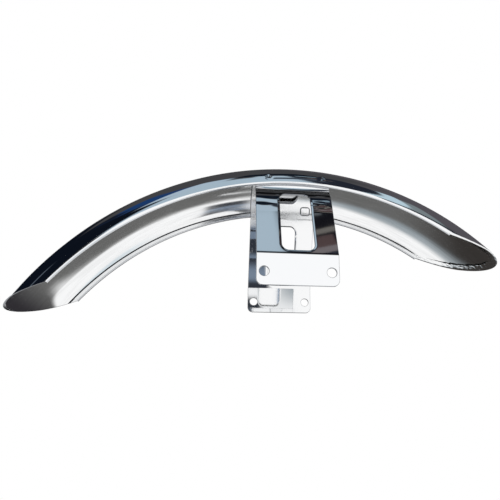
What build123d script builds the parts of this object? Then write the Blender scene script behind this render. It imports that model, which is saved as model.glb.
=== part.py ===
from build123d import *
from math import atan2, cos, degrees, hypot, radians, sin, sqrt
import os

os.makedirs("parts", exist_ok=True)

# Motorcycle front mudguard, millimetres.
# X runs along the mudguard to its short end, Y across it and Z up. The origin is on the
# middle plane, level with the lowest tip and half-way along. Radii, angles and heights
# below are taken from the wheel axle, which lies along Y.

# blade: one pressed sheet, a flat arch of three arcs in section, swept round the axle
edge_r = 305.5
half_width = 50.0
crown_rise = 31.0
shoulder_r = 24.0
sheet = 1.2

# long end: past the hem a straight slanting cut runs up to the crown
long_hem_deg = -51.4
long_tip_deg = -59.5

# short end: the same kind of cut, its rim folded in and laid back on the wall
short_hem_deg = 33.5
short_tip_deg = 46.8
rim_at_hem = 5.4
rim_at_tip = 2.8
rim_gap = 0.5

# hem: the long edges folded in and up
hem_height = 4.4
hem_fold_r = 1.6

# fork bracket: one plate folded along X, with a saddle, two legs and two bolted tabs
plate = 2.5
weld_gap = 0.3
saddle_ease = 0.4
bracket_x = -4.0
bracket_width = 80.0
neck_clearance = 3.6
neck_drop = 7.5
neck_bend_r = 8.0
shoulder_flare = 7.2
shoulder_drop = 9.6
shoulder_bend_r = 40.0
leg_flare = 26.4
leg_drop = 70.9
tab_bend_r = 3.5
tab_corner_r = 6.5

# bolt holes in the tabs
hole_r = 4.75
hole_to_side = 7.5
hole_to_bend = 18.0
hole_to_end = 13.5

# windows in one column: one in each leg and one under the crown
window_shift = 1.0
window_to_side = 23.75
window_corner_r = 7.0
sill_above_bend = 4.0
window_above_shoulder = 2.6
crown_window_to_neck = 8.4

# blank pressed pad inside the far shoulder of the saddle
pad_size = 12.0
pad_corner_r = 3.0
pad_rise = 0.9
pad_to_side = 11.5
pad_above_base = 8.0

# worked out from the sizes above
crown_r = edge_r + crown_rise
inner_half = half_width - sheet
inner_rise = crown_rise - sheet
saddle_rise = inner_rise - weld_gap
saddle_shoulder_r = shoulder_r + saddle_ease
reach = 2.0 * crown_r
sweep_start = long_tip_deg - 3.0
sweep_end = short_tip_deg + 3.0
bracket_left = bracket_x - bracket_width / 2
bracket_right = bracket_x + bracket_width / 2
neck_half = half_width - neck_clearance
neck_z = edge_r - neck_drop
shoulder_half = neck_half + shoulder_flare
shoulder_z = neck_z - shoulder_drop
tab_half = shoulder_half + leg_flare
tab_bend_z = shoulder_z - leg_drop
hole_z = tab_bend_z - hole_to_bend
hole_spacing = bracket_width - 2 * hole_to_side
tab_bottom_z = hole_z - hole_to_end
window_x = bracket_x + window_shift
window_width = bracket_width - 2 * window_to_side
sill_z = tab_bend_z + sill_above_bend
leg_window_top = shoulder_z + window_above_shoulder
crown_window_half = neck_half - crown_window_to_neck
pad_x = bracket_right - pad_to_side
# the flat-running saddle touches the curved crown at its outermost corner
crown_inner_r = crown_r - sheet
saddle_base_z = edge_r - crown_inner_r + sqrt(crown_inner_r**2 - bracket_left**2)


def side_point(radius, angle_deg):
    """Side-view point at a radius from the axle and an angle from straight up."""
    a = radians(angle_deg)
    return (radius * sin(a), radius * cos(a))


# the two ends of each slanting cut, and from them the place of the axle
long_low = side_point(edge_r, long_hem_deg)
long_high = side_point(crown_r, long_tip_deg)
short_low = side_point(edge_r, short_hem_deg)
short_high = side_point(crown_r, short_tip_deg)
axle_x = -(long_high[0] + short_high[0]) / 2
axle_z = -long_high[1]
axle = Axis((axle_x, 0, axle_z), (0, 1, 0))
side_view = Plane(origin=(axle_x, 0, axle_z), x_dir=(1, 0, 0), z_dir=(0, -1, 0))


def section_plane(angle_deg):
    """Plane through the axle at an angle from straight up, its own Y pointing outward."""
    a = radians(angle_deg)
    return Plane(origin=(axle_x, 0, axle_z), x_dir=(0, 1, 0), z_dir=(cos(a), 0, -sin(a)))


def along(low, high, factor, lift=0.0):
    """Side-view point along an end cut, lifted square to the cut towards the blade."""
    run_x = high[0] - low[0]
    run_z = high[1] - low[1]
    size = hypot(run_x, run_z)
    side = 1 if run_x > 0 else -1
    x = low[0] + run_x * factor - side * lift * run_z / size
    z = low[1] + run_z * factor + side * lift * run_x / size
    return (x, z)


def arch(base, half, rise, shoulder, inset):
    """Three arcs, upright at both edges and tangent to each other, set in from the outer line."""
    side = half - shoulder
    drop = (side**2 - (rise - shoulder) ** 2) / (2 * (rise - shoulder))
    turn = degrees(atan2(drop, side))
    CenterArc((side, base), shoulder - inset, 0, turn)
    CenterArc((0, base - drop), rise + drop - inset, turn, 180 - 2 * turn)
    CenterArc((-side, base), shoulder - inset, 180 - turn, turn)


def arch_band(base, half, rise, shoulder, inset_far, inset_near):
    """The band between two such arches, closed along the two edges."""
    with BuildSketch() as band:
        with BuildLine():
            arch(base, half, rise, shoulder, inset_far)
            arch(base, half, rise, shoulder, inset_near)
            Line((half - inset_far, base), (half - inset_near, base))
            Line((inset_far - half, base), (inset_near - half, base))
        make_face()
    return band.sketch


def blade_band(inset_far, inset_near):
    """The same band in the blade's own section."""
    return arch_band(edge_r, half_width, crown_rise, shoulder_r, inset_far, inset_near)


# the sheet, swept and then cut off under both slanting lines
with BuildPart() as blade_sheet:
    with BuildSketch(section_plane(sweep_start)):
        add(blade_band(0, sheet))
    revolve(axis=axle, revolution_arc=sweep_end - sweep_start)
    with BuildSketch(side_view):
        for low, high in ((long_low, long_high), (short_low, short_high)):
            start = along(low, high, -0.2)
            stop = along(low, high, 2.0)
            with BuildLine():
                Polyline(start, stop, (stop[0], 0), (start[0], 0), close=True)
            make_face()
    extrude(amount=reach, both=True, mode=Mode.SUBTRACT)

# the folded rim of the short end, and the slit left inside its fold
with BuildPart() as rim_slit:
    with BuildSketch(section_plane(short_hem_deg - 4)):
        add(blade_band(sheet, sheet + rim_gap))
    revolve(axis=axle, revolution_arc=sweep_end - short_hem_deg + 4)
    with BuildSketch(side_view):
        with BuildLine():
            Polyline(
                along(short_low, short_high, -0.5, sheet),
                along(short_low, short_high, 1.5, sheet),
                along(short_low, short_high, 1.5, crown_rise),
                along(short_low, short_high, -0.5, crown_rise),
                close=True,
            )
        make_face()
    extrude(amount=reach, both=True, mode=Mode.INTERSECT)

with BuildPart() as rim:
    with BuildSketch(section_plane(short_hem_deg - 4)):
        add(blade_band(0, 2 * sheet + rim_gap))
    revolve(axis=axle, revolution_arc=sweep_end - short_hem_deg + 4)
    with BuildSketch(side_view):
        with BuildLine():
            Polyline(
                along(short_low, short_high, 0),
                along(short_low, short_high, 1.2),
                along(short_low, short_high, 1.2, rim_at_tip),
                along(short_low, short_high, 0, rim_at_hem),
                close=True,
            )
        make_face()
    extrude(amount=reach, both=True, mode=Mode.INTERSECT)
    add(rim_slit.part, mode=Mode.SUBTRACT)

# the blade, with a hem on each long edge between the two end cuts
in_face = half_width - 2 * hem_fold_r
in_back = in_face + sheet
corner = hem_fold_r / 2
fold_low = edge_r - hem_fold_r * sin(radians(60))
root_r = edge_r + sheet / 2
with BuildPart() as mudguard_blade:
    add(blade_sheet.part)
    with BuildSketch(section_plane(long_hem_deg)):
        with BuildLine():
            Polyline(
                (inner_half, root_r),
                (half_width, root_r),
                (half_width, edge_r),
                (half_width - corner, fold_low),
                (in_face + corner, fold_low),
                (in_face, edge_r),
                (in_face, edge_r + hem_height),
                (in_back, edge_r + hem_height),
                (in_back, fold_low + sheet),
                (inner_half, fold_low + sheet),
                close=True,
            )
        make_face()
        mirror(about=Plane.YZ)
    revolve(axis=axle, revolution_arc=short_hem_deg - long_hem_deg)
    add(rim.part)
mudguard_blade.part.label = "mudguard_blade"
export_step(mudguard_blade.part, "parts/mudguard_blade.step")

# the bracket's plate: over the saddle, out at the neck, back at the shoulder, down at the tab
neck_point = (neck_half, neck_z)
shoulder_point = (shoulder_half, shoulder_z)
tab_point = (tab_half, tab_bend_z)
across = Plane(origin=(axle_x + bracket_left, 0, axle_z), x_dir=(0, 1, 0), z_dir=(1, 0, 0))
under_crown = Plane(origin=(axle_x, 0, axle_z + neck_z), x_dir=(1, 0, 0), z_dir=(0, 0, 1))
pad_arc_r = saddle_shoulder_r - plate
pad_out = sqrt(pad_arc_r**2 - pad_above_base**2)
pad_plane = Plane(
    origin=(
        axle_x + pad_x,
        neck_half - saddle_shoulder_r + pad_out,
        axle_z + saddle_base_z + pad_above_base,
    ),
    x_dir=(1, 0, 0),
    z_dir=(0, -pad_out, -pad_above_base),
)
with BuildPart() as fork_bracket:
    with BuildSketch(across):
        with BuildLine() as plate_line:
            Polyline(
                (neck_half, saddle_base_z),
                neck_point,
                shoulder_point,
                tab_point,
                (tab_half, tab_bottom_z),
            )
            fillet(plate_line.vertices().sort_by_distance(neck_point)[0], neck_bend_r)
            fillet(plate_line.vertices().sort_by_distance(shoulder_point)[0], shoulder_bend_r)
            fillet(plate_line.vertices().sort_by_distance(tab_point)[0], tab_bend_r)
            offset(amount=plate, side=Side.RIGHT)
        make_face()
        mirror(about=Plane.YZ)
        add(arch_band(saddle_base_z, neck_half, saddle_rise, saddle_shoulder_r, 0, plate))
    extrude(amount=bracket_width)
    fillet(fork_bracket.edges().filter_by(Axis.Y).group_by(Axis.Z)[0], tab_corner_r)
    with BuildSketch(side_view):
        with Locations((window_x, (sill_z + leg_window_top) / 2)):
            RectangleRounded(window_width, leg_window_top - sill_z, window_corner_r)
        with Locations((bracket_x, hole_z)):
            with GridLocations(hole_spacing, 0, 2, 1):
                Circle(hole_r)
    extrude(amount=reach, both=True, mode=Mode.SUBTRACT)
    with BuildSketch(under_crown):
        with Locations((window_x, 0)):
            RectangleRounded(window_width, 2 * crown_window_half, window_corner_r)
    extrude(amount=2 * crown_rise, mode=Mode.SUBTRACT)
    with BuildSketch(pad_plane.offset(-plate / 2)):
        RectangleRounded(pad_size, pad_size, pad_corner_r)
    extrude(amount=plate / 2 + pad_rise)
    with BuildSketch(pad_plane.offset(-2 * plate)):
        RectangleRounded(pad_size - plate, pad_size - plate, pad_corner_r / 2)
    extrude(amount=plate + pad_rise, mode=Mode.SUBTRACT)
fork_bracket.part.label = "fork_bracket"
export_step(fork_bracket.part, "parts/fork_bracket.step")
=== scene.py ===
from bisect import bisect_right
from math import atan2, cos, pi, radians, sin, sqrt

import bmesh
import bpy
from mathutils import Matrix, Vector, noise
from mathutils.geometry import delaunay_2d_cdt


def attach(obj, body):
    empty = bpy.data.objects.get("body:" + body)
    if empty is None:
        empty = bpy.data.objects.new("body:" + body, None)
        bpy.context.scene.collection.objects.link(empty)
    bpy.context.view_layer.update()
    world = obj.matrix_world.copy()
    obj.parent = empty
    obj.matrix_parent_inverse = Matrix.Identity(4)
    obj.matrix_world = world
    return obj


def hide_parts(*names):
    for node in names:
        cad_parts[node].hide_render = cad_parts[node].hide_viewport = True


bl_info = {
    "name": "Chromed front mudguard",
    "version": (1, 0, 0),
    "blender": (4, 5, 0),
    "location": "View3D > Sidebar > Mudguard",
    "description": "Builds a chromed front mudguard with its fork bracket, and its studio",
    "category": "Object",
}

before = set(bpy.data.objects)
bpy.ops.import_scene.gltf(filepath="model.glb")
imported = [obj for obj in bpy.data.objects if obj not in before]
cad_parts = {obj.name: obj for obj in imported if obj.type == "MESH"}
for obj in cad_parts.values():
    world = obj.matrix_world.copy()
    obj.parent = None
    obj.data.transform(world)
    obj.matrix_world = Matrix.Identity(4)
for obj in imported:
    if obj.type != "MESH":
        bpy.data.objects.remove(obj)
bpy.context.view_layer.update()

MM = 0.001

# how finely the meshes are laid out
BLADE_STEPS = 230
SIDE_STEPS, TOP_STEPS = 26, 44
LEAF_STEPS, FOLD_STEPS = 4, 12
RIM_TURN_STEPS, RIM_LAY_STEPS = 10, 8
MARK_STEPS = 8
SADDLE_SIDE_STEPS, SADDLE_TOP_STEPS = 18, 30
ACROSS_STEPS = 21
PAD_STEPS = 34
HOLE_STEPS, CORNER_STEPS = 40, 8
ROUND_STEPS = 4
WINDOW_STEP, CROWN_STEP = 4 * MM, 2.5 * MM
PLATE_GAP, PAD_GAP = 0.8 * MM, 0.5 * MM
# the turn between two faces from which their edge shows as sharp
SHARP_FROM = radians(40)


def length(name, description, default_mm):
    """A length in metres for the sidebar, given here in millimetres."""
    return bpy.props.FloatProperty(
        name=name, description=description, default=default_mm * MM, unit="LENGTH", precision=4
    )


def angle(name, description, default_degrees):
    """An angle for the sidebar, given here in degrees."""
    return bpy.props.FloatProperty(
        name=name, description=description, default=radians(default_degrees), unit="ROTATION"
    )


def colour(name, description, default):
    """A plain colour for the sidebar."""
    return bpy.props.FloatVectorProperty(
        name=name, description=description, default=default, subtype="COLOR", min=0, max=1
    )


class BladeSizes(bpy.types.PropertyGroup):
    edge_radius: length("Edge radius", "Radius of the long edges about the wheel axle", 305.5)
    half_width: length("Half width", "Half the width over the two walls", 50.0)
    crown_rise: length("Crown rise", "Height of the crown above the long edges", 31.0)
    shoulder_radius: length("Shoulder radius", "Radius from the wall into the crown", 24.0)
    sheet: length("Sheet", "Thickness of the sheet", 1.2)
    long_hem: angle("Long hem end", "Where the hem ends at the long end", -51.4)
    long_tip: angle("Long tip", "Angle of the long tip", -59.5)
    short_hem: angle("Short hem end", "Where the hem ends at the short end", 33.5)
    short_tip: angle("Short tip", "Angle of the short tip", 46.8)
    hem_height: length("Hem height", "Height of the folded hem", 4.4)
    hem_fold: length("Hem fold", "Radius of the hem's fold", 1.6)
    rim_at_hem: length("Rim at hem", "Width of the folded rim beside the hem", 5.4)
    rim_at_tip: length("Rim at tip", "Width of the folded rim towards the tip", 2.8)
    rim_gap: length("Rim gap", "Slit left inside the rim's fold", 0.5)
    pucker: length("Pucker", "Depth of the puckers in the folded rim", 0.55)
    weld_first: length("First weld", "Place of the first spot welds along the blade", -8.0)
    weld_last: length("Last weld", "Place of the last spot welds along the blade", 49.0)
    weld_height: length("Weld height", "Height of the spot welds over the long edges", 7.6)
    weld_mark: length("Weld mark", "Radius of the spot welds' marks", 4.5)
    weld_depth: length("Weld depth", "Depth of the spot welds' marks", 0.4)


class BracketSizes(bpy.types.PropertyGroup):
    plate: length("Plate", "Thickness of the plate", 2.5)
    middle: length("Middle", "Middle of the bracket along the blade from the axle", -4.0)
    width: length("Width", "Width along the blade", 80.0)
    saddle_base: length("Saddle base", "Height over the axle where the saddle's arch begins", 302.6)
    saddle_rise: length("Saddle rise", "Rise of the saddle's arch", 29.5)
    saddle_shoulder: length("Saddle shoulder", "Radius of the saddle's shoulder", 24.4)
    neck_half: length("Neck half width", "Half width over the neck", 46.4)
    neck_height: length("Neck height", "Height of the neck's bend over the axle", 298.0)
    neck_bend: length("Neck bend", "Radius of the neck's bend", 8.0)
    shoulder_half: length("Shoulder half width", "Half width at the outward bend", 53.6)
    shoulder_height: length("Shoulder height", "Height of the outward bend over the axle", 288.4)
    shoulder_bend: length("Shoulder bend", "Radius of the outward bend", 40.0)
    tab_half: length("Tab half width", "Half width over the bolted tabs", 80.0)
    tab_bend: length("Tab bend", "Radius of the bend above the tab", 3.5)
    tab_corner: length("Tab corner", "Radius of the tab's corners", 6.5)
    hole_radius: length("Hole radius", "Radius of the bolt holes", 4.75)
    hole_spacing: length("Hole spacing", "Distance between the bolt holes", 65.0)
    hole_height: length("Hole height", "Height of the bolt holes over the axle", 199.5)
    hole_to_bend: length("Hole to bend", "From the bolt holes up to the bend", 18.0)
    hole_to_end: length("Hole to end", "From the bolt holes down to the end", 13.5)
    window_middle: length("Window middle", "Middle of the windows from the axle", -3.0)
    window_width: length("Window width", "Width of the windows", 32.5)
    window_corner: length("Window corner", "Radius of the windows' corners", 7.0)
    sill: length("Sill", "Height of the window's sill over the tab's bend", 4.0)
    window_top: length("Window top", "Height of the leg window's top over the axle", 291.0)
    crown_window_half: length("Crown window half", "Half the crown window's length", 38.0)
    pad: length("Pad", "Side of the pressed pad", 12.0)
    pad_corner: length("Pad corner", "Radius of the pad's corners", 3.0)
    pad_rise: length("Pad rise", "Rise of the pad", 0.9)
    pad_middle: length("Pad middle", "Middle of the pad from the axle", 24.5)
    pad_height: length("Pad height", "Height of the pad over the saddle's base", 8.0)
    edge_round: length("Edge round", "Rounding of the plate's edges", 0.4)


class Finish(bpy.types.PropertyGroup):
    mirror: colour("Mirror chrome", "Colour of the polished chrome", (0.94, 0.95, 0.965))
    satin: colour("Satin chrome", "Colour of the unpolished chrome inside", (0.93, 0.935, 0.94))
    # the hem's darker tint is a painted reflection; the chrome round its fold is also rougher
    hem: colour("Hem", "Colour of the duller chrome round the hem's fold", (0.6, 0.61, 0.63))
    raw_edge: colour("Cut edge", "Colour of the cut edge of the sheet", (0.22, 0.23, 0.25))
    plate_edge: colour("Plate edge", "Colour of the bracket's cut edges", (0.30, 0.31, 0.33))


class Studio(bpy.types.PropertyGroup):
    floor: colour("Floor", "Colour of the floor", (0.90, 0.90, 0.90))
    lens: bpy.props.FloatProperty(
        name="Lens", description="Focal length of the camera", default=33.4, unit="CAMERA"
    )


def axle_place(s):
    """Where the wheel axle lies, with the origin under the middle of the part."""
    long_high = side_point(s.edge_radius + s.crown_rise, s.long_tip)
    short_high = side_point(s.edge_radius + s.crown_rise, s.short_tip)
    return Vector((-(long_high.x + short_high.x) / 2, 0, -long_high.y))


def side_point(radius, turn):
    """Side-view point at a radius from the axle and an angle from straight up."""
    return Vector((radius * sin(turn), radius * cos(turn)))


class EndCut:
    """One of the slanting end cuts, as a line in the side view."""

    def __init__(self, edge_radius, hem_turn, crown_radius, tip_turn):
        self.low = side_point(edge_radius, hem_turn)
        run = side_point(crown_radius, tip_turn) - self.low
        self.size = run.length
        self.run = run / run.length
        side = 1 if run.x > 0 else -1
        self.lift = Vector((-side * self.run.y, side * self.run.x))

    def meets(self, radius, lift=0.0):
        """Angle where a circle about the axle meets the cut, and how far along that is."""
        start = self.low + self.lift * lift
        along = start.dot(self.run)
        step = -along + sqrt(along**2 - start.length_squared + radius**2)
        point = start + self.run * step
        return atan2(point.x, point.y), step / self.size


def arc(centre, radius, start, stop, count):
    """Points and outward normals along an arc, its angles from the first axis to the second."""
    made = []
    for i in range(count + 1):
        a = start + (stop - start) * i / count
        n = Vector((cos(a), sin(a)))
        made.append((Vector(centre) + n * radius, n))
    return made


def arch_line(half, rise, shoulder, base, side_count, top_count):
    """Three tangent arcs from the far edge over the crown to the near edge."""
    side = half - shoulder
    drop = (side**2 - (rise - shoulder) ** 2) / (2 * (rise - shoulder))
    turn = atan2(drop, side)
    line = arc((side, base), shoulder, 0, turn, side_count)
    line += arc((0, base - drop), rise + drop, turn, pi - turn, top_count)[1:]
    line += arc((-side, base), shoulder, pi - turn, pi, side_count)[1:]
    return line


def linked(name, data):
    """A new object of some data, in the scene."""
    made = bpy.data.objects.new(name, data)
    bpy.context.scene.collection.objects.link(made)
    return made


def mesh_piece(name, points, faces, looks, look_of_face, normals=None):
    """A smooth-shaded mesh object in the row frame."""
    mesh = bpy.data.meshes.new(name)
    mesh.from_pydata([tuple(p) for p in points], [], faces)
    for look in looks:
        mesh.materials.append(look)
    mesh.polygons.foreach_set("material_index", look_of_face)
    mesh.polygons.foreach_set("use_smooth", [True] * len(faces))
    if normals:
        mesh.normals_split_custom_set_from_vertices([tuple(n) for n in normals])
    else:
        turned = bmesh.new()
        turned.from_mesh(mesh)
        bmesh.ops.recalc_face_normals(turned, faces=turned.faces)
        turned.to_mesh(mesh)
        turned.free()
        mesh.set_sharp_from_angle(angle=SHARP_FROM)
    mesh.update()
    return linked(name, mesh)


class Builder:
    """Collects the points, faces and finishes of one piece."""

    def __init__(self):
        self.points = []
        self.faces = []
        self.looks = []

    def add(self, point):
        self.points.append(Vector(point))
        return len(self.points) - 1

    def quads(self, rows, look, flip=False):
        """Faces between neighbouring rows of point numbers."""
        for a, b in zip(rows, rows[1:]):
            for i in range(len(a) - 1):
                face = (a[i], a[i + 1], b[i + 1], b[i])
                if len(set(face)) < 3:
                    continue
                self.faces.append(tuple(reversed(face)) if flip else face)
                self.looks.append(look)


# the blade's finishes, in the order of its materials
OUTSIDE, INSIDE, EDGE, RIM, SHADED_CREASE, HEM, SLIT = range(7)


def build_blade(s, looks):
    """The pressed sheet: hem, walls and crown in one sweep, then the rim folded in."""
    axle = axle_place(s)
    crown_radius = s.edge_radius + s.crown_rise
    long_cut = EndCut(s.edge_radius, s.long_hem, crown_radius, s.long_tip)
    short_cut = EndCut(s.edge_radius, s.short_hem, crown_radius, s.short_tip)
    fold = s.sheet + s.rim_gap / 2

    leg_y = s.half_width - 2 * s.hem_fold
    top = s.edge_radius + s.hem_height
    hem = []
    for i in range(LEAF_STEPS):
        hem.append((Vector((leg_y, top - s.hem_height * i / LEAF_STEPS)), Vector((-1, 0))))
    centre = (s.half_width - s.hem_fold, s.edge_radius)
    hem += arc(centre, s.hem_fold, -pi, 0, FOLD_STEPS)[:-1]
    arch = arch_line(
        s.half_width, s.crown_rise, s.shoulder_radius, s.edge_radius, SIDE_STEPS, TOP_STEPS
    )
    mirrored = [(Vector((-p.x, p.y)), Vector((-n.x, n.y))) for p, n in reversed(hem)]
    line = hem + arch + mirrored
    first, last = len(hem), len(hem) + len(arch) - 1

    made = Builder()

    def place(y, radius, turn):
        """A point of the part, across it and at a radius and an angle about the axle."""
        return axle + Vector((radius * sin(turn), y, radius * cos(turn)))

    def limits(i, radius):
        """The angles at which a row ends: at the cuts, or at the stops of the hem."""
        if first <= i <= last:
            return long_cut.meets(radius)[0], short_cut.meets(radius, fold)[0]
        return s.long_hem, s.short_hem

    # the steps along the blade, with finer ones across the weld marks
    weld_radius = s.edge_radius + s.weld_height
    low, high = limits(first, weld_radius)
    spots, shares = [], [k / BLADE_STEPS for k in range(BLADE_STEPS + 1)]
    for along in (s.weld_first, s.weld_last):
        turn = (along - axle.x) / weld_radius
        side = s.half_width - s.shoulder_radius
        across = side + sqrt(s.shoulder_radius**2 - s.weld_height**2)
        spots += [place(across, weld_radius, turn), place(-across, weld_radius, turn)]
        reach = s.weld_mark / weld_radius
        for k in range(-MARK_STEPS, MARK_STEPS + 1):
            shares.append((turn + reach * k / MARK_STEPS - low) / (high - low))
    shares.sort()

    def pressed(point, normal):
        """A point of the outer face, sunk where a spot weld has marked it."""
        gap = min((point - spot).length for spot in spots)
        if gap > s.weld_mark:
            return point
        return point - normal * s.weld_depth * (1 - ease(gap, 0, s.weld_mark))

    sides = []
    for depth in (0.0, s.sheet):
        rows = []
        for i, (p, n) in enumerate(line):
            q = p - n * depth
            low, high = limits(i, q.y)
            row = []
            for share in shares:
                turn = low + (high - low) * share
                point = place(q.x, q.y, turn)
                if not depth:
                    point = pressed(point, Vector((n.y * sin(turn), n.x, n.y * cos(turn))))
                row.append(made.add(point))
            rows.append(row)
        sides.append(rows)
    outer, inner = sides

    # outside, then each hem from its leaf's edge to its fold
    made.quads(outer[first - 2 : last + 3], OUTSIDE)
    # painted shade on the leaf's top edge, here and on the other hem
    made.quads(outer[:2], SHADED_CREASE)
    made.quads(outer[1 : LEAF_STEPS + 1], INSIDE)
    made.quads(outer[LEAF_STEPS : first - 1], HEM)
    made.quads(outer[last + 2 : -LEAF_STEPS], HEM)
    made.quads(outer[-LEAF_STEPS - 1 : -1], INSIDE)
    made.quads(outer[-2:], SHADED_CREASE)

    # inside, with the crease over the leaf painted dark as shade
    crease = next(i for i in range(first, last) if line[i][0].y > top) - 1
    mirrored_crease = len(line) - 1 - crease
    made.quads(inner[: crease + 1], INSIDE, flip=True)
    made.quads(inner[crease : crease + 3], SHADED_CREASE, flip=True)
    made.quads(inner[crease + 2 : mirrored_crease - 1], INSIDE, flip=True)
    made.quads(inner[mirrored_crease - 2 : mirrored_crease + 1], SHADED_CREASE, flip=True)
    made.quads(inner[mirrored_crease:], INSIDE, flip=True)
    # the leaf's cut ends, painted dark as shade like the crease
    made.quads([outer[0], inner[0]], SHADED_CREASE, flip=True)
    made.quads([outer[-1], inner[-1]], SHADED_CREASE)

    # the cut long end, and the ends of the hems beside the folded rim
    made.quads([[row[0] for row in side] for side in sides], EDGE)
    for part in (slice(None, first + 1), slice(last, None)):
        ends = [[row[-1] for row in side[part]] for side in sides]
        made.quads(ends, EDGE, flip=True)

    # the rim: half a turn inwards, then laid back on the wall and puckered
    fold_faces = []
    for side, radius in ((outer, fold), (inner, fold - s.sheet)):
        rows = []
        for i in range(first, last + 1):
            p, n = line[i]
            row = [side[i][-1]]
            # the rim narrows towards the tip, and is calm beside the hem
            far = short_cut.meets(p.y)[1]
            calm = min(1.0, max(0.0, (far - 0.1) / 0.25))
            reach_in = s.rim_at_hem + (s.rim_at_tip - s.rim_at_hem) * far / 1.2
            path = []
            for k in range(1, RIM_TURN_STEPS + 1):
                a = pi * k / RIM_TURN_STEPS
                path.append((fold - radius * sin(a), fold - radius * cos(a), 0.0))
            for k in range(1, RIM_LAY_STEPS + 1):
                share = k / RIM_LAY_STEPS
                path.append((fold + (reach_in - fold) * share, fold + radius, share))
            for back, depth, share in path:
                wave = noise.noise(Vector((i * 0.55, share * 1.1, 3.0)))
                wave += 0.5 * noise.noise(Vector((i * 1.3, share * 2.0, 9.0)))
                depth += s.pucker * wave * calm * min(1.0, share * 3)
                q = p - n * depth
                row.append(made.add(place(q.x, q.y, short_cut.meets(q.y, back)[0])))
            rows.append(row)
        fold_faces.append(rows)
    rim_out, rim_in = fold_faces
    made.quads(rim_out, RIM, flip=True)
    made.quads(rim_in, RIM)
    # the slit between the rim's layers, painted near black as shade
    made.quads([[row[-1] for row in rows] for rows in fold_faces], SLIT)
    made.quads([rim_out[0], rim_in[0]], EDGE)
    made.quads([rim_out[-1], rim_in[-1]], EDGE, flip=True)
    return mesh_piece("mudguard_blade_chromed", made.points, made.faces, looks, made.looks)


def bent_line(corners, bends):
    """The points of a line through corners with rounded bends, one for every 3 degrees."""
    made = [Vector(corners[0])]
    for i in range(1, len(corners) - 1):
        a, b, c = (Vector(p) for p in corners[i - 1 : i + 2])
        come, go = (b - a).normalized(), (c - b).normalized()
        turn = come.angle(go)
        side = 1 if come.x * go.y - come.y * go.x > 0 else -1
        start = b - come * bends[i - 1] * sin(turn / 2) / cos(turn / 2)
        centre = start + Vector((-come.y, come.x)) * side * bends[i - 1]
        spoke = start - centre
        count = max(6, int(turn / radians(3)))
        for k in range(count + 1):
            swing = side * turn * k / count
            x = spoke.x * cos(swing) - spoke.y * sin(swing)
            y = spoke.x * sin(swing) + spoke.y * cos(swing)
            made.append(centre + Vector((x, y)))
    made.append(Vector(corners[-1]))
    return made


def rounded_box(middle, size, corner, spare):
    """A rounded rectangle's outline and its outward directions, grown by spare."""
    made = []
    half = Vector((size[0] / 2 - corner, size[1] / 2 - corner))
    for k, (x, y) in enumerate(((1, 1), (-1, 1), (-1, -1), (1, -1))):
        centre = (middle[0] + x * half.x, middle[1] + y * half.y)
        made += arc(centre, corner + spare, pi / 2 * k, pi / 2 * (k + 1), CORNER_STEPS)
    return made


def subdivided(outline, step):
    """The same closed outline with its long runs split up."""
    made = []
    for (p, n), (q, m) in zip(outline, outline[1:] + outline[:1]):
        count = max(1, int((q - p).length / step))
        for i in range(count):
            share = i / count
            made.append((p.lerp(q, share), n.lerp(m, share).normalized()))
    return made


def inside(point, outline):
    """Whether a point lies in a closed outline."""
    found = False
    for p, q in zip(outline, outline[1:] + outline[:1]):
        if (p[1] > point[1]) != (q[1] > point[1]):
            if point[0] < p[0] + (point[1] - p[1]) / (q[1] - p[1]) * (q[0] - p[0]):
                found = not found
    return found


def sill_height(s):
    """Height of the leg windows' sill over the axle."""
    return s.hole_height + s.hole_to_bend + s.sill


class Strip:
    """The bracket's outer face as one long strip, from the near tab's end to the far one's."""

    def __init__(self, s):
        tab_bend = s.hole_height + s.hole_to_bend
        tab_end = s.hole_height - s.hole_to_end
        corners = [
            (-s.tab_half, tab_end),
            (-s.tab_half, tab_bend),
            (-s.shoulder_half, s.shoulder_height),
            (-s.neck_half, s.neck_height),
            (-s.neck_half, s.saddle_base),
        ]
        leg = bent_line(corners, (s.tab_bend, s.shoulder_bend, s.neck_bend))
        sizes = s.neck_half, s.saddle_rise, s.saddle_shoulder, s.saddle_base
        saddle = arch_line(*sizes, SADDLE_SIDE_STEPS, SADDLE_TOP_STEPS)
        over = [p for p, n in reversed(saddle)]
        self.line = leg[:-1] + over + [Vector((-p.x, p.y)) for p in reversed(leg[:-1])]
        self.normals = []
        runs = [(q - p).normalized() for p, q in zip(self.line, self.line[1:])]
        for come, go in zip(runs[:1] + runs, runs + runs[-1:]):
            run = (come + go).normalized()
            self.normals.append(Vector((-run.y, run.x)))
        self.at = [0.0]
        for p, q in zip(self.line, self.line[1:]):
            self.at.append(self.at[-1] + (q - p).length)

    def spot(self, along, depth):
        """Point and outward normal at a length along the strip, at a depth in the plate."""
        along = min(max(along, 0.0), self.at[-1])
        high = min(bisect_right(self.at, along), len(self.at) - 1)
        low = high - 1
        share = (along - self.at[low]) / (self.at[high] - self.at[low])
        p = self.line[low].lerp(self.line[high], share)
        n = self.normals[low].lerp(self.normals[high], share).normalized()
        return p - n * depth, n

    def along_of(self, value, axis, low, high, depth):
        """Length along the strip at which a coordinate at that depth has a value."""
        rising = self.spot(high, depth)[0][axis] > self.spot(low, depth)[0][axis]
        for _ in range(40):
            mid = (low + high) / 2
            if (self.spot(mid, depth)[0][axis] < value) == rising:
                low = mid
            else:
                high = mid
        return (low + high) / 2


# the bracket's finishes, in the order of its materials
OUTER, INNER, PAD_BORDER, CUT = range(4)


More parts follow.
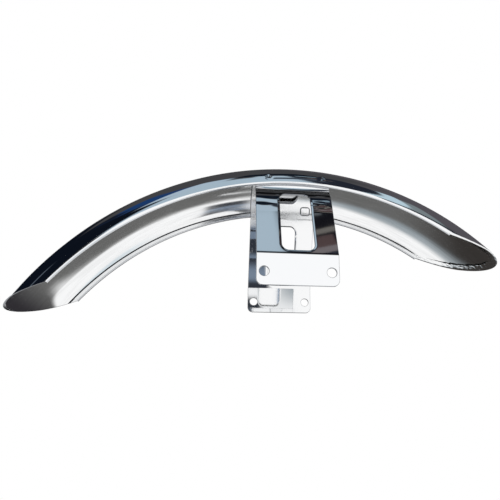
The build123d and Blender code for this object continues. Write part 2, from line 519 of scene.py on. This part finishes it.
def build_bracket(s, blade, looks):
    """The folded plate with its windows, bolt holes and pressed pad."""
    axle = axle_place(blade)
    strip = Strip(s)
    whole = strip.at[-1]
    middle = whole / 2
    sill = sill_height(s)
    left = s.middle - s.width / 2
    right = s.middle + s.width / 2
    leg_reach = middle * 0.8
    saddle_start = middle * 0.55

    def outlines(spare, depth):
        """The plate's outline and then its openings, in from the edges by spare."""
        rim = rounded_box((s.middle, middle), (s.width, whole), s.tab_corner, -spare)
        split = []
        for (p, n), (q, m) in zip(rim, rim[1:] + rim[:1]):
            split.append((p, n))
            if abs(q.y - p.y) > whole / 2:
                low, high = min(p.y, q.y) + 0.01 * MM, max(p.y, q.y) - 0.01 * MM
                marks = [a for a in strip.at if low < a < high]
                if q.y < p.y:
                    marks.reverse()
                for a in marks:
                    split.append((p.lerp(q, (a - p.y) / (q.y - p.y)), n))
        found = [split]

        def lay(opening, axis, low, high, side=-1):
            """Lays an opening, drawn in a straight view, on the strip between two lengths."""
            made = []
            for p, n in opening:
                along = strip.along_of(p.y, axis, low, high, depth)
                made.append((Vector((p.x, along)), Vector((-n.x, side * n.y))))
            found.append(made)

        window = rounded_box(
            (s.window_middle, (sill + s.window_top) / 2),
            (s.window_width, s.window_top - sill),
            s.window_corner,
            spare,
        )
        openings = [subdivided(window, WINDOW_STEP)]
        for side in (-1, 1):
            at = (s.middle + side * s.hole_spacing / 2, s.hole_height)
            openings.append(arc(at, s.hole_radius + spare, 0, 2 * pi, HOLE_STEPS)[:-1])
        for opening in openings:
            lay(opening, 1, 0.0, leg_reach)
        for opening in openings:
            lay(opening, 1, whole, whole - leg_reach, 1)
        crown = rounded_box(
            (s.window_middle, 0), (s.window_width, 2 * s.crown_window_half), s.window_corner, spare
        )
        lay(subdivided(crown, CROWN_STEP), 0, saddle_start, whole - saddle_start)
        return found

    points, normals, faces, look_of = [], [], [], []
    pad_along = strip.along_of(s.saddle_base + s.pad_height, 1, whole, middle, 0.0)
    pad_at = Vector((s.pad_middle, pad_along))

    def pad_share(p):
        """How far the pad's pressing reaches at a place on the strip, from 0 to 1."""
        out = Vector((abs(p.x - pad_at.x), abs(p.y - pad_at.y)))
        out -= Vector((1, 1)) * (s.pad / 2 - s.pad_corner)
        gap = Vector((max(out.x, 0), max(out.y, 0))).length
        gap += min(max(out.x, out.y), 0) - s.pad_corner
        return 1 - ease(gap, -1.1 * MM, 0.3 * MM)

    def spot(p, depth):
        """Point and outward normal at a place on the strip, with the pad pressed in."""
        q, n = strip.spot(p.y, depth)
        place, up = axle + Vector((p.x, q.x, q.y)), Vector((0, n.x, n.y))
        if (p - pad_at).length > s.pad:
            return place, up
        share, step = pad_share(p), 0.05 * MM
        across = (pad_share(p + Vector((step, 0))) - share) / step
        along = (pad_share(p + Vector((0, step))) - share) / step
        tilt = Vector((across, up.z * along, -up.y * along)) * s.pad_rise
        return place - up * s.pad_rise * share, (up + tilt).normalized()

    def face_layer(depth, inward):
        """One face of the plate, triangulated between its outlines."""
        loops = outlines(s.edge_round, depth)
        flat, edges = [], []
        for loop in loops:
            first = len(flat)
            flat += [p for p, n in loop]
            edges += [(first + i, first + (i + 1) % len(loop)) for i in range(len(loop))]
        border = list(flat)
        outline, *openings = [[(p.x, p.y) for p, n in loop] for loop in loops]

        def is_free(p, gap):
            """Whether a place keeps off the outlines and out of the openings."""
            if min((p - q).length for q in border) < gap:
                return False
            return not any(inside(p, opening) for opening in openings)

        for along in strip.at[1:-1]:
            for i in range(1, ACROSS_STEPS):
                p = Vector((left + (right - left) * i / ACROSS_STEPS, along))
                if (p - pad_at).length > s.pad and is_free(p, PLATE_GAP):
                    flat.append(p)
        for i in range(PAD_STEPS + 1):
            for j in range(PAD_STEPS + 1):
                p = pad_at + Vector((i / PAD_STEPS - 0.5, j / PAD_STEPS - 0.5)) * 2 * s.pad
                if (p - pad_at).length <= s.pad and is_free(p, PAD_GAP):
                    flat.append(p)
        base = len(points)
        corners, _, made, *_ = delaunay_2d_cdt(flat, edges, [], 0, 1e-9)
        for p in corners:
            q, n = spot(p, depth)
            points.append(q)
            normals.append(-n if inward else n)
        for face in made:
            mid = sum((corners[i] for i in face), Vector((0, 0))) / 3
            if not inside(mid, outline) or any(inside(mid, opening) for opening in openings):
                continue
            turned = tuple(base + i for i in face)
            faces.append(turned if inward else tuple(reversed(turned)))
            # the pad's sloped border, painted dark as shade
            on_border = (mid - pad_at).length < s.pad and 0.03 < pad_share(mid) < 0.97
            inner_look = PAD_BORDER if on_border else INNER
            look_of.append(inner_look if inward else OUTER)

    face_layer(0.0, False)
    face_layer(s.plate, True)

    # the plate's edges, rounded on both sides: how far in, how deep and how level they are
    levels = []
    for k in range(ROUND_STEPS + 1):
        a = pi / 2 * k / ROUND_STEPS
        levels.append((s.edge_round * (1 - sin(a)), s.edge_round * (1 - cos(a)), cos(a)))
    levels += [(spare, s.plate - depth, -up) for spare, depth, up in reversed(levels)]
    rings = [outlines(spare, depth) for spare, depth, up in levels]
    for loops in zip(*rings):
        rows = []
        for loop, (spare, depth, up) in zip(loops, levels):
            row = []
            for p, out in loop:
                q, n = spot(p, depth)
                run = Vector((0, n.z, -n.y))
                side = Vector((out.x, 0, 0)) + run * out.y
                row.append(len(points))
                points.append(q)
                normals.append((n * up + side * sqrt(max(0, 1 - up * up))).normalized())
            rows.append(row + row[:1])
        for a, b in zip(rows, rows[1:]):
            for i in range(len(a) - 1):
                faces.append((a[i], a[i + 1], b[i + 1], b[i]))
                look_of.append(CUT)

    # every face turned the way its normals point
    turned = []
    for face in faces:
        p, q, r = (points[i] for i in face[:3])
        flat = (q - p).cross(r - p)
        out = sum((normals[i] for i in face), Vector())
        turned.append(face if flat.dot(out) >= 0 else tuple(reversed(face)))
    return mesh_piece("fork_bracket_chromed", points, turned, looks, look_of, normals)


class Tree:
    """The nodes of a material or a world, made and joined in one call."""

    def __init__(self, owner):
        owner.use_nodes = True
        self.nodes, self.links = owner.node_tree.nodes, owner.node_tree.links

    def add(self, kind, inputs=None):
        """A node, its inputs given by name or number, each as a socket or a value."""
        node = self.nodes.new(kind)
        for name, value in (inputs or {}).items():
            if isinstance(value, bpy.types.NodeSocket):
                self.links.new(value, node.inputs[name])
            else:
                node.inputs[name].default_value = value
        return node

    def math(self, operation, a, b=0):
        """A math node on one or two values."""
        node = self.add("ShaderNodeMath", {0: a, 1: b})
        node.operation = operation
        return node.outputs[0]


class Chrome(Tree):
    """Mirror chrome with faint polishing haze and the slight waves of pressed sheet."""

    def __init__(self, name, tint, rough, wave, wave_scale=22):
        self.made = bpy.data.materials.new(name)
        super().__init__(self.made)
        self.shader = self.nodes["Principled BSDF"]
        self.shader.inputs["Base Color"].default_value = (*tint, 1)
        self.shader.inputs["Metallic"].default_value = 1
        self.place = self.add("ShaderNodeTexCoord").outputs["Object"]
        haze = self.noise(self.place, 35, 6)
        self.rough = self.spread(haze, 0, 1, rough * 0.6, rough * 1.5)
        self.links.new(self.rough, self.shader.inputs["Roughness"])
        self.last_bump = None
        self.bump(self.noise(self.place, wave_scale, 1), wave, 1.0)

    def noise(self, vector, scale, detail):
        inputs = {"Vector": vector, "Scale": scale, "Detail": detail}
        return self.add("ShaderNodeTexNoise", inputs).outputs["Fac"]

    def distance(self, a, b):
        """The length of a step by a along one axis and by b along another."""
        squares = self.math("MULTIPLY", a, a), self.math("MULTIPLY", b, b)
        return self.math("SQRT", self.math("ADD", *squares))

    def spread(self, value, low, high, to_low, to_high):
        """A smooth map of one range of values onto another."""
        inputs = {"Value": value, "From Min": low, "From Max": high}
        node = self.add("ShaderNodeMapRange", {**inputs, "To Min": to_low, "To Max": to_high})
        node.interpolation_type = "SMOOTHSTEP"
        return node.outputs["Result"]

    def band(self, value, *edges_mm):
        """Rises from 0 to 1 between two places and falls again between two others."""
        a, b, c, d = (edge * MM for edge in edges_mm)
        return self.math("MULTIPLY", self.spread(value, a, b, 0, 1), self.spread(value, c, d, 1, 0))

    def bump(self, height, strength, depth_mm):
        """Adds a bump on top of those there already."""
        inputs = {"Height": height, "Strength": strength, "Distance": depth_mm * MM}
        if self.last_bump:
            inputs["Normal"] = self.last_bump
        self.last_bump = self.add("ShaderNodeBump", inputs).outputs["Normal"]
        self.links.new(self.last_bump, self.shader.inputs["Normal"])

    def axes(self):
        """The object coordinates one by one."""
        return self.add("ShaderNodeSeparateXYZ", {0: self.place}).outputs

    def tints(self, value, low, high, dark, light):
        """Colour of the chrome between two tints, by a value."""
        node = self.add("ShaderNodeMix")
        node.data_type = "RGBA"
        node.inputs["A"].default_value = (*dark, 1)
        node.inputs["B"].default_value = (*light, 1)
        self.links.new(self.spread(value, low, high, 0, 1), node.inputs["Factor"])
        self.links.new(node.outputs["Result"], self.shader.inputs["Base Color"])


def darker(tint, share):
    """A tint with a share of its brightness."""
    return tuple(v * share for v in tint)


def inside_chrome(look, axle):
    """Satin chrome with fine streaks that run along the blade."""
    made = Chrome("satin_chrome", look.satin, 0.11, 0.05)
    x, y, z = made.axes()
    out_x, out_z = made.math("SUBTRACT", x, axle.x), made.math("SUBTRACT", z, axle.z)
    turn = made.math("ARCTAN2", out_x, out_z)
    reach = made.distance(out_x, out_z)
    join = made.add("ShaderNodeCombineXYZ", {0: made.math("MULTIPLY", turn, 0.02), 1: y, 2: reach})
    streaks = made.noise(join.outputs[0], 420, 4)
    made.tints(streaks, 0.35, 0.62, darker(look.satin, 0.92), look.satin)
    made.bump(streaks, 0.04, 0.2)
    return made.made


def painted_crease_shade(look):
    """Painted shade in a crease, patchy along its length."""
    made = Chrome("crease_painted_shade", look.raw_edge, 0.4, 0.1)
    patches = made.noise(made.place, 30, 3)
    # painted shade: patches from near black to a dark chrome
    made.tints(patches, 0.3, 0.75, (0.012, 0.013, 0.016), darker(look.raw_edge, 0.4))
    return made.made


def roll_down(made, s, axle, roll, depth_mm):
    """Rolls a bracket face down round the leg windows, as a punch leaves it."""
    x, _, z = made.axes()
    sill = sill_height(s)
    beyond = []
    for value, middle, half in (
        (x, axle.x + s.window_middle, s.window_width / 2),
        (z, axle.z + (sill + s.window_top) / 2, (s.window_top - sill) / 2),
    ):
        gap = made.math("ABSOLUTE", made.math("SUBTRACT", value, middle))
        gap = made.math("SUBTRACT", gap, half - s.window_corner)
        beyond.append(made.math("MAXIMUM", gap, 0))
    away = made.distance(*beyond)
    made.bump(made.spread(away, s.window_corner - roll, s.window_corner + roll, 0, 1), 1, depth_mm)


def bracket_chrome(look, s, axle):
    """Mirror chrome, rippled over the shoulders and rolled down round the leg windows, with painted
    dark reflections over the neck and along the tab's bend.
    """
    made = Chrome("bracket_chrome", look.mirror, 0.04, 0.03)
    roll_down(made, s, axle, 2.6 * MM, 0.38)
    z = made.axes()[2]
    flat = made.add("ShaderNodeMapping", {"Scale": (0.5, 1, 1.6), "Vector": made.place})
    ripples = made.noise(flat.outputs["Vector"], 75, 0.6)
    # heights over the part's lowest point, in millimetres
    shoulder = made.band(z, 96, 106, 116, 120)
    neck = made.band(z, 117, 119, 126, 128)
    tab_bend = made.band(z, 45.8, 46.6, 47.8, 48.6)
    made.bump(made.math("MULTIPLY", ripples, shoulder), 0.7, 1.2)
    # painted reflection: dark bands over the neck and along the tab's bend
    shaded = made.math("ADD", neck, made.math("MULTIPLY", tab_bend, 0.85))
    made.tints(shaded, 0, 1, look.mirror, darker(look.mirror, 0.06))
    return made.made


def bracket_inside_chrome(look, s, axle):
    """Chrome that turns satin towards the inside of the saddle."""
    made = Chrome("bracket_inner_chrome", look.satin, 0.1, 0.05)
    roll_down(made, s, axle, 3 * MM, 0.65)
    z = made.axes()[2]
    satin = made.spread(z, 113 * MM, 123 * MM, 0.4, 2.3)
    made.links.new(made.math("MULTIPLY", made.rough, satin), made.shader.inputs["Roughness"])
    return made.made


class MUDGUARD_OT_blade(bpy.types.Operator):
    """Build the chromed blade with its hem, cut long end and folded short rim"""

    bl_idname = "mudguard.blade"
    bl_label = "Blade"

    def execute(self, context):
        scene = context.scene
        look = scene.mudguard_finish
        looks = (
            Chrome("polished_chrome", look.mirror, 0.05, 0.05).made,
            inside_chrome(look, axle_place(scene.mudguard_blade)),
            Chrome("cut_edge", look.raw_edge, 0.35, 0.1).made,
            Chrome("folded_rim_chrome", look.satin, 0.14, 0.8, 240).made,
            painted_crease_shade(look),
            # the hem: rougher chrome, its darker tint a painted reflection
            Chrome("hem_chrome_painted_dark", look.hem, 0.2, 0.1).made,
            # painted shade: the slit inside the rim's fold, near black
            Chrome("slit_painted_shade", darker(look.raw_edge, 0.06), 0.5, 0.1).made,
        )
        piece = build_blade(scene.mudguard_blade, looks)
        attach(piece, "root")
        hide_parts("mudguard_blade")
        return {"FINISHED"}


class MUDGUARD_OT_bracket(bpy.types.Operator):
    """Build the chromed fork bracket with its windows, bolt holes and pad"""

    bl_idname = "mudguard.bracket"
    bl_label = "Fork bracket"

    def execute(self, context):
        scene = context.scene
        look = scene.mudguard_finish
        axle = axle_place(scene.mudguard_blade)
        looks = (
            bracket_chrome(look, scene.mudguard_bracket, axle),
            bracket_inside_chrome(look, scene.mudguard_bracket, axle),
            # painted shade on the pad's sloped border
            Chrome("pad_border_painted_shade", darker(look.raw_edge, 0.5), 0.2, 0.1).made,
            Chrome("plate_edge_chrome", look.plate_edge, 0.2, 0.1).made,
        )
        piece = build_bracket(scene.mudguard_bracket, scene.mudguard_blade, looks)
        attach(piece, "root")
        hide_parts("fork_bracket")
        return {"FINISHED"}


def srgb(*levels):
    """A colour given in the 0 to 255 levels of a screen, made linear."""
    shares = [v / 255 for v in levels]
    return Vector([v / 12.92 if v < 0.04 else ((v + 0.055) / 1.055) ** 2.4 for v in shares])


def ease(value, low, high):
    """Smooth step from 0 at low to 1 at high."""
    share = min(1.0, max(0.0, (value - low) / (high - low)))
    return share * share * (3 - 2 * share)


def between(value, low, low_soft, high_soft, high):
    """Rises from 0 to 1 from low to low_soft and falls again from high_soft to high."""
    return ease(value, low, low_soft) * (1 - ease(value, high_soft, high))


class Panel:
    """A soft-edged panel of the studio dome, placed by bearing and height in degrees.

    Bearing 0 is towards the front, +90 towards the short end, 180 behind."""

    def __init__(self, bearings, heights, soft, level, lean=0.0):
        self.bearings, self.heights, self.soft = bearings, heights, soft
        self.level, self.lean = level, lean

    def cover(self, bearing, height):
        """How much of the panel shows in a direction, from 0 to 1."""
        soft = self.soft
        bearing -= self.lean * (height - sum(self.heights) / 2)
        shares = []
        for value, (low, high) in ((bearing, self.bearings), (height, self.heights)):
            shares.append(between(value, low - soft, low + soft, high - soft, high + soft))
        return shares[0] * shares[1]


# the dome's panels, each over the ones before it
PANELS = (
    Panel((50, 170), (20, 62), 8, srgb(84, 81, 86)),
    Panel((-140, -25), (-20, 47), 3, srgb(12, 17, 27)),
    Panel((-95, -40), (42, 52), 2, srgb(13, 18, 28)),
    Panel((-88, -36), (51, 65), 2.5, srgb(27, 58, 104)),
    Panel((-90, -61), (50, 55), 1.5, srgb(20, 26, 38)),
    Panel((-38, -14), (46, 68), 2, srgb(165, 184, 199)),
    Panel((-24, -14), (24, 60), 2, srgb(165, 184, 199)),
    Panel((-22, 1), (24, 58), 2.5, srgb(165, 184, 197)),
    Panel((-2, 13), (24, 64), 1.5, srgb(166, 184, 197)),
    Panel((-16, 40), (65, 78), 2, srgb(14, 22, 32)),
    Panel((13, 46), (24, 66), 2, srgb(34, 38, 48)),
    Panel((42, 55), (32, 51), 2, srgb(120, 130, 133), lean=1.15),
    Panel((34, 44), (31, 54), 1.2, srgb(184, 207, 218), lean=1.15),
    Panel((-60, -56), (26, 32), 1.5, srgb(90, 100, 112)),
)
DOME_BASE = srgb(66, 66, 68)
DOME_RADIUS = 5.0
DOME_FOOT = -6

# hard-edged strips before the dome, as bearings, heights and colour
STRIPS = (
    ((18, 28), (54.6, 60.6), srgb(20, 20, 25)),
    ((18, 27.5), (53.6, 54.8), srgb(112, 106, 108)),
    ((19.6, 24.6), (54.8, 56.8), srgb(78, 64, 64)),
    ((19, 27), (57.2, 58.1), srgb(106, 103, 99)),
    ((18, 24.3), (60.6, 62.6), srgb(84, 88, 92)),
    ((24.3, 34), (60.6, 62.6), srgb(30, 33, 37)),
    ((18, 31), (62.6, 65.5), srgb(118, 136, 148)),
    ((5, 20), (44, 53.4), srgb(64, 72, 82)),
    ((2.4, 3.7), (2, 11.8), srgb(50, 58, 70)),
    ((6.7, 8.6), (2, 11.8), srgb(100, 125, 152)),
)


def dome_open(bearing, height):
    """Whether the dome is left open, so that the white studio shows through it."""
    if -22 < bearing < 62:
        return height < (29 if bearing < 14 else 31 if bearing < 24 else 27)
    if abs(bearing) > 125:
        return 2 < height < 24
    return bearing > 0 and height < 16


def dome_place(radius, bearing, height):
    """A place on a dome, by bearing and height in degrees."""
    a, e = radians(bearing), radians(height)
    return (radius * sin(a) * cos(e), -radius * cos(a) * cos(e), radius * sin(e))


def studio_strips():
    """Narrow panels in front of the dome, each a little nearer than the last."""
    radius = DOME_RADIUS - 0.2
    points, colours, faces = [], [], []
    for bearings, heights, level in STRIPS:
        radius -= 0.02
        first = len(points)
        for i, j in ((0, 0), (1, 0), (1, 1), (0, 1)):
            points.append(dome_place(radius, bearings[i], heights[j]))
            colours += [*level, 1]
        faces.append(tuple(range(first, first + 4)))
    mirror_only("studio_strips", points, faces, colours)


def studio_dome():
    """A dome of soft-edged panels that only mirrors see, with a point for every degree."""
    points, colours, faces = [], [], []
    bearings, heights = range(-180, 180), range(DOME_FOOT, 90)
    for bearing in bearings:
        for height in heights:
            level = DOME_BASE
            for panel in PANELS:
                level = level.lerp(panel.level, panel.cover(bearing, height))
            points.append(dome_place(DOME_RADIUS, bearing, height))
            colours += [*level, 1]
    across, up = len(bearings), len(heights)
    for i in range(across):
        k = (i + 1) % across
        for j in range(up - 1):
            if not dome_open(bearings[i], heights[j]):
                faces.append((i * up + j, k * up + j, k * up + j + 1, i * up + j + 1))
    top = len(points)
    points.append((0, 0, DOME_RADIUS))
    colours += [*DOME_BASE, 1]
    for i in range(across):
        faces.append((i * up + up - 1, (i + 1) % across * up + up - 1, top))
    mirror_only("studio_dome", points, faces, colours)


def ground_level(x, y):
    """What mirrors see on the ground: white in front, a grey fall-off and dark behind."""
    left = 1 - ease(x, -0.26, -0.20)
    right = ease(x, 0.12, 0.20)
    dark = srgb(106, 106, 105).lerp(srgb(50, 48, 52), left)
    dark = dark.lerp(srgb(56, 53, 51), right)
    tinted = between(x, -0.26, -0.20, -0.12, -0.06) * (1 - ease(y, -0.2, -0.1))
    front = Vector((1.0, 1.0, 1.0)).lerp(srgb(216, 227, 233), tinted)
    front = front.lerp(srgb(150, 160, 166), ease(x, 0.0, 0.10) * ease(y, -0.02, 0.06))
    edge = -0.035 + 0.082 * ease(x, -0.30, -0.19) + 0.017 * ease(x, -0.16, -0.02) - 0.017 * right
    soft = 0.007 + 0.008 * right
    level = front.lerp(dark, ease(y, edge - soft, edge + soft))
    # a dark strip beside the bracket, bluish in its middle
    strip = between(x, -0.024, -0.019, 0.011, 0.019) * between(y, -0.19, -0.17, 0.02, 0.04)
    middle = between(y, -0.105, -0.062, -0.045, -0.022)
    bluish = srgb(50, 54, 62).lerp(srgb(118, 132, 150), middle)
    return level.lerp(bluish, strip)


def studio_ground():
    """The ground as mirrors see it, finest under the part."""
    points, colours, faces = [], [], []
    across = [-3.0, -1.0, -0.5] + [-0.36 + 0.005 * i for i in range(145)] + [0.5, 1.0, 3.0]
    back = [-3.0, -1.0, -0.5] + [-0.3 + 0.01 * i for i in range(25)]
    back += [-0.05 + 0.005 * i for i in range(32)]
    back += [0.12 + 0.05 * i for i in range(8)] + [1.0, 3.0, 6.0]
    for x in across:
        for y in back:
            points.append((x, y, 0.001))
            colours += [*ground_level(x, y), 1]
    n = len(back)
    for i in range(len(across) - 1):
        for j in range(n - 1):
            k = i * n + j
            faces.append((k, k + n, k + n + 1, k + 1))
    mirror_only("studio_ground", points, faces, colours)


def mirror_only(name, points, faces, colours):
    """A glowing stage mesh that is seen by mirrors and by nothing else."""
    mesh = bpy.data.meshes.new(name)
    mesh.from_pydata(points, [], faces)
    layer = mesh.color_attributes.new("panel_level", "FLOAT_COLOR", "POINT")
    layer.data.foreach_set("color", colours)
    card = linked(name, mesh)
    look = bpy.data.materials.new(name)
    tree = Tree(look)
    tree.nodes.clear()
    read = tree.add("ShaderNodeVertexColor")
    read.layer_name = "panel_level"
    glow = tree.add("ShaderNodeEmission", {"Color": read.outputs["Color"]})
    tree.add("ShaderNodeOutputMaterial", {"Surface": glow.outputs[0]})
    mesh.materials.append(look)
    card.visible_camera = False
    card.visible_diffuse = False
    card.visible_shadow = False
    card.visible_transmission = False


def studio_world(scene):
    """A white world, dimmer as a source of soft light than as a backdrop."""
    world = bpy.data.worlds.new("studio_white")
    scene.world = world
    tree = Tree(world)
    tree.nodes.clear()
    path = tree.add("ShaderNodeLightPath").outputs
    seen = tree.math("ADD", path["Is Camera Ray"], path["Is Glossy Ray"])
    seen = tree.math("ADD", seen, path["Is Transmission Ray"])
    level = tree.add("ShaderNodeMapRange", {"Value": seen, "To Min": 0.75, "To Max": 1.0})
    inputs = {"Color": (1, 1, 1, 1), "Strength": level.outputs["Result"]}
    back = tree.add("ShaderNodeBackground", inputs)
    tree.add("ShaderNodeOutputWorld", {"Surface": back.outputs[0]})


def studio_floor(tint):
    """A plain pale floor that doesn't hide the part from a camera below it."""
    mesh = bpy.data.meshes.new("studio_floor")
    half = 30.0
    corners = [(-half, -half, 0), (half, -half, 0), (half, half, 0), (-half, half, 0)]
    mesh.from_pydata(corners, [], [(0, 1, 2, 3)])
    floor = linked("studio_floor", mesh)
    look = bpy.data.materials.new("pale_floor")
    tree = Tree(look)
    tree.nodes.clear()
    behind = tree.add("ShaderNodeNewGeometry").outputs["Backfacing"]
    seen = tree.add("ShaderNodeLightPath").outputs["Is Camera Ray"]
    under = tree.math("MULTIPLY", behind, seen)
    plain = tree.add("ShaderNodeBsdfDiffuse", {"Color": (*tint, 1)})
    clear = tree.add("ShaderNodeBsdfTransparent", {"Color": (1, 1, 1, 1)})
    inputs = {"Fac": under, 1: plain.outputs[0], 2: clear.outputs[0]}
    mix = tree.add("ShaderNodeMixShader", inputs)
    tree.add("ShaderNodeOutputMaterial", {"Surface": mix.outputs[0]})
    mesh.materials.append(look)


def soft_key():
    """A broad soft lamp over the front of the part, left out of its mirrors."""
    key = bpy.data.lights.new("soft_key", "AREA")
    key.shape = "DISK"
    key.size = 1.2
    key.energy = 8
    lamp = linked("soft_key", key)
    lamp.location = (-0.8, -1.2, 1.6)
    aim = Vector((0, 0, 0.1)) - lamp.location
    lamp.rotation_euler = aim.to_track_quat("-Z", "Y").to_euler()
    lamp.visible_glossy = False


def photo_camera(scene, focal_length):
    """The camera at the photograph's place, looking up a little from below."""
    lens = bpy.data.cameras.new("photo_camera")
    lens.sensor_width = 36
    lens.lens = focal_length
    lens.shift_x = -0.0785
    lens.shift_y = 0.0223
    lens.clip_start = 0.01
    camera = linked("photo_camera", lens)
    yaw, pitch, roll = 0.1376, 0.271, -0.0043
    ahead = Vector((sin(yaw) * cos(pitch), cos(yaw) * cos(pitch), sin(pitch)))
    right = Vector((cos(yaw), -sin(yaw), 0))
    up = right.cross(ahead)
    turned = right * cos(roll) + up * sin(roll)
    up = up * cos(roll) - right * sin(roll)
    place = Vector((-0.04860, -0.49993, -0.07902))
    axes = Matrix((turned, up, -ahead)).transposed()
    camera.matrix_world = Matrix.Translation(place) @ axes.to_4x4()
    scene.camera = camera


class MUDGUARD_OT_stage(bpy.types.Operator):
    """Build the floor, the soft light, what the chrome mirrors and the camera"""

    bl_idname = "mudguard.stage"
    bl_label = "Studio"

    def execute(self, context):
        scene = context.scene
        studio = scene.mudguard_studio
        scene.view_settings.view_transform = "Standard"
        studio_world(scene)
        studio_floor(studio.floor)
        studio_dome()
        studio_strips()
        studio_ground()
        soft_key()
        photo_camera(scene, studio.lens)
        return {"FINISHED"}


class MUDGUARD_PT_panel(bpy.types.Panel):
    bl_label = "Mudguard"
    bl_idname = "MUDGUARD_PT_panel"
    bl_space_type = "VIEW_3D"
    bl_region_type = "UI"
    bl_category = "Mudguard"

    def draw(self, context):
        scene = context.scene
        groups = (
            (MUDGUARD_OT_blade, scene.mudguard_blade),
            (MUDGUARD_OT_bracket, scene.mudguard_bracket),
            (None, scene.mudguard_finish),
            (MUDGUARD_OT_stage, scene.mudguard_studio),
        )
        for operator, group in groups:
            box = self.layout.box()
            if operator:
                box.operator(operator.bl_idname)
            for name in group.bl_rna.properties.keys():
                if name not in ("rna_type", "name"):
                    box.prop(group, name)


classes = (
    BladeSizes,
    BracketSizes,
    Finish,
    Studio,
    MUDGUARD_OT_blade,
    MUDGUARD_OT_bracket,
    MUDGUARD_OT_stage,
    MUDGUARD_PT_panel,
)


def register():
    for c in classes:
        bpy.utils.register_class(c)
    bpy.types.Scene.mudguard_blade = bpy.props.PointerProperty(type=BladeSizes)
    bpy.types.Scene.mudguard_bracket = bpy.props.PointerProperty(type=BracketSizes)
    bpy.types.Scene.mudguard_finish = bpy.props.PointerProperty(type=Finish)
    bpy.types.Scene.mudguard_studio = bpy.props.PointerProperty(type=Studio)


def unregister():
    del bpy.types.Scene.mudguard_studio
    del bpy.types.Scene.mudguard_finish
    del bpy.types.Scene.mudguard_bracket
    del bpy.types.Scene.mudguard_blade
    for c in reversed(classes):
        bpy.utils.unregister_class(c)


def main():
    register()
    bpy.ops.mudguard.blade()
    bpy.ops.mudguard.bracket()
    bpy.ops.mudguard.stage()


if __name__ == "__main__":
    main()
